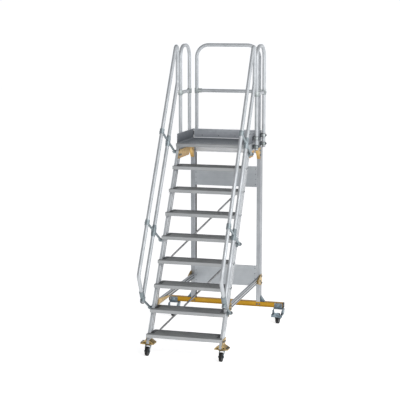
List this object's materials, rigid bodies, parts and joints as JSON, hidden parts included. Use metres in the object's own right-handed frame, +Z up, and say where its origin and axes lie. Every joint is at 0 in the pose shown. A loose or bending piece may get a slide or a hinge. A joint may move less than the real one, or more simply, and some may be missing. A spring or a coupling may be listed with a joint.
{
  "type": "mobile platform stairs",
  "caption": "Mobile aluminium platform stairs with ribbed treads, twin handrails, guarded platform and yellow wide-base rear cross tube on swivel castors",
  "frame": {"origin": "on the floor under the middle of the overall width and length", "axes": "X to the right of someone who climbs, Y rearward the way the flight climbs, Z up from the floor"},
  "size_m": [1.414, 2.0016, 3.26],
  "materials": {
    "frame_aluminium": "satin anodised extrusion",
    "tube_aluminium": "brushed round tube",
    "tread_aluminium": "ribbed mill finish",
    "deck_aluminium": "ribbed mill finish",
    "panel_sheet": "satin sheet",
    "cast_clamp": "grey cast clamp",
    "yellow_zinc": "yellow passivated zinc plate",
    "zinc_steel": "bright zinc plate",
    "black_plastic": "moulded cap",
    "wheel_rubber": "solid rubber tread",
    "hub_plastic": "moulded wheel centre"
  },
  "bodies": {
    "stairs": {"brace_rod_lower": "tube_aluminium", "brace_rod_upper": "tube_aluminium", "castor_heads": "zinc_steel", "castor_saddles": "zinc_steel", "foot_brackets": "yellow_zinc", "guard_clamps": "cast_clamp", "handrail_brackets_left": "cast_clamp", "handrail_brackets_right": "cast_clamp", "handrail_left": "tube_aluminium", "handrail_right": "tube_aluminium", "knee_rails": "tube_aluminium", "knee_tees": "cast_clamp", "platform_beam_left": "frame_aluminium", "platform_beam_rear": "frame_aluminium", "platform_beam_right": "frame_aluminium", "platform_deck": "deck_aluminium", "platform_front_beam": "frame_aluminium", "post_heads": "yellow_zinc", "post_heels": "frame_aluminium", "post_tie_beam": "frame_aluminium", "rear_guard": "tube_aluminium", "rear_panel_lower": "panel_sheet", "rear_panel_upper": "panel_sheet", "rear_post_left": "frame_aluminium", "rear_post_right": "frame_aluminium", "side_guard_left": "tube_aluminium", "side_guard_right": "tube_aluminium", "side_strut_left": "frame_aluminium", "side_strut_right": "frame_aluminium", "stringer_heads": "yellow_zinc", "stringer_left": "frame_aluminium", "stringer_right": "frame_aluminium", "strut_brackets": "yellow_zinc", "toe_board_left": "deck_aluminium", "toe_board_rear": "deck_aluminium", "toe_board_right": "deck_aluminium", "traverse": "yellow_zinc", "traverse_caps": "black_plastic", "tread_1": "tread_aluminium", "tread_2": "tread_aluminium", "tread_3": "tread_aluminium", "tread_4": "tread_aluminium", "tread_5": "tread_aluminium", "tread_6": "tread_aluminium", "tread_7": "tread_aluminium", "tread_8": "tread_aluminium", "tread_end_pads": "black_plastic"},
    "fork_front_right": {"fork_front_right": "zinc_steel"},
    "wheel_front_right": {"tyre_front_right": "wheel_rubber", "hub_front_right": "hub_plastic"},
    "fork_front_left": {"fork_front_left": "zinc_steel"},
    "wheel_front_left": {"tyre_front_left": "wheel_rubber", "hub_front_left": "hub_plastic"},
    "fork_rear_right": {"fork_rear_right": "zinc_steel"},
    "wheel_rear_right": {"tyre_rear_right": "wheel_rubber", "hub_rear_right": "hub_plastic"},
    "fork_rear_left": {"fork_rear_left": "zinc_steel"},
    "wheel_rear_left": {"tyre_rear_left": "wheel_rubber", "hub_rear_left": "hub_plastic"}
  },
  "joints": [
    {"name": "swivel_front_right", "type": "hinge", "parent": "stairs", "child": "fork_front_right", "pos_m": [0.407, -0.79112, 0.13], "axis": [0, 0, 1], "continuous": true},
    {"name": "roll_front_right", "type": "hinge", "parent": "fork_front_right", "child": "wheel_front_right", "pos_m": [0.407, -0.83312, 0.05], "axis": [1, 0, 0], "continuous": true},
    {"name": "swivel_front_left", "type": "hinge", "parent": "stairs", "child": "fork_front_left", "pos_m": [-0.407, -0.79112, 0.13], "axis": [0, 0, 1], "continuous": true},
    {"name": "roll_front_left", "type": "hinge", "parent": "fork_front_left", "child": "wheel_front_left", "pos_m": [-0.407, -0.83312, 0.05], "axis": [1, 0, 0], "continuous": true},
    {"name": "swivel_rear_right", "type": "hinge", "parent": "stairs", "child": "fork_rear_right", "pos_m": [0.641, 0.92488, 0.13], "axis": [0, 0, 1], "continuous": true},
    {"name": "roll_rear_right", "type": "hinge", "parent": "fork_rear_right", "child": "wheel_rear_right", "pos_m": [0.641, 0.87988, 0.0625], "axis": [1, 0, 0], "continuous": true},
    {"name": "swivel_rear_left", "type": "hinge", "parent": "stairs", "child": "fork_rear_left", "pos_m": [-0.641, 0.92488, 0.13], "axis": [0, 0, 1], "continuous": true},
    {"name": "roll_rear_left", "type": "hinge", "parent": "fork_rear_left", "child": "wheel_rear_left", "pos_m": [-0.641, 0.87988, 0.0625], "axis": [1, 0, 0], "continuous": true}
  ]
}
